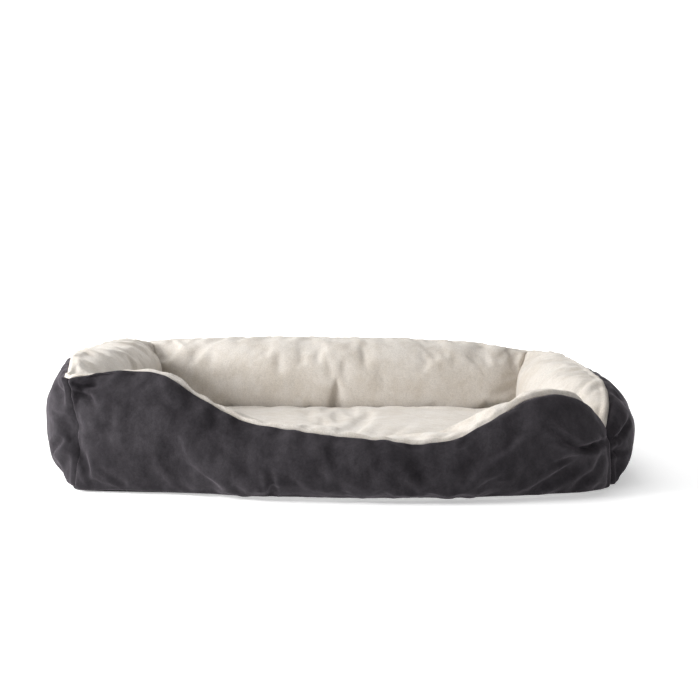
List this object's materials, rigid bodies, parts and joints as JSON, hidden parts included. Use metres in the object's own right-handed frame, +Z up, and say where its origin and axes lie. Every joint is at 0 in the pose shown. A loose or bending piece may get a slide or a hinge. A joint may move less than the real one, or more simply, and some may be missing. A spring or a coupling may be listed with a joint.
{
  "type": "bolster pet bed",
  "caption": "Oblong pet bed with stuffed bolster walls, a low front entry and a lift-out boxed cushion.",
  "frame": {"origin": "on the floor under the middle of the bed", "axes": "+X along the length to the right as seen from the low entry, +Y from the entry to the back, +Z up"},
  "size_m": [0.914, 0.686, 0.195],
  "materials": {
    "outer_plush": "matte",
    "lining_plush": "matte",
    "polyester_fibre": "matte",
    "foam": "matte",
    "base_cloth": "matte",
    "zip_tape": "matte",
    "zip_coil": "satin",
    "zip_metal": "satin",
    "label_tape": "satin"
  },
  "bodies": {
    "bed": {"outer_panel_front": "outer_plush", "outer_panel_right": "outer_plush", "outer_panel_back": "outer_plush", "outer_panel_left": "outer_plush", "lining_panel_front": "lining_plush", "lining_panel_right": "lining_plush", "lining_panel_back": "lining_plush", "lining_panel_left": "lining_plush", "bolster_fill_front": "polyester_fibre", "bolster_fill_right": "polyester_fibre", "bolster_fill_back": "polyester_fibre", "bolster_fill_left": "polyester_fibre", "base_panel": "base_cloth", "base_deck": "lining_plush"},
    "cushion": {"cushion_top_panel": "lining_plush", "cushion_base_panel": "lining_plush", "cushion_gusset": "lining_plush", "cushion_piping_top": "lining_plush", "cushion_piping_base": "lining_plush", "wadding_upper": "polyester_fibre", "wadding_lower": "polyester_fibre", "foam_core": "foam", "zip_strip_upper": "lining_plush", "zip_strip_lower": "lining_plush", "zip_tape_upper": "zip_tape", "zip_tape_lower": "zip_tape", "zip_coil": "zip_coil", "zip_stop_left": "zip_metal", "zip_stop_right": "zip_metal", "care_label": "label_tape"},
    "slider": {"zip_slider": "zip_metal"},
    "pull": {"zip_pull": "zip_metal"}
  },
  "joints": [
    {"name": "cushion_lift", "type": "slide", "parent": "bed", "child": "cushion", "axis": [0, 0, 1], "range_m": [0, 0.3]},
    {"name": "zip_slide", "type": "slide", "parent": "cushion", "child": "slider", "axis": [1, 0, 0], "range_m": [0, 0.42]},
    {"name": "zip_pull_hinge", "type": "hinge", "parent": "slider", "child": "pull", "pos_m": [-0.211, 0.2244, 0.025], "axis": [0, 0, 1], "range_deg": [0, 175]}
  ]
}
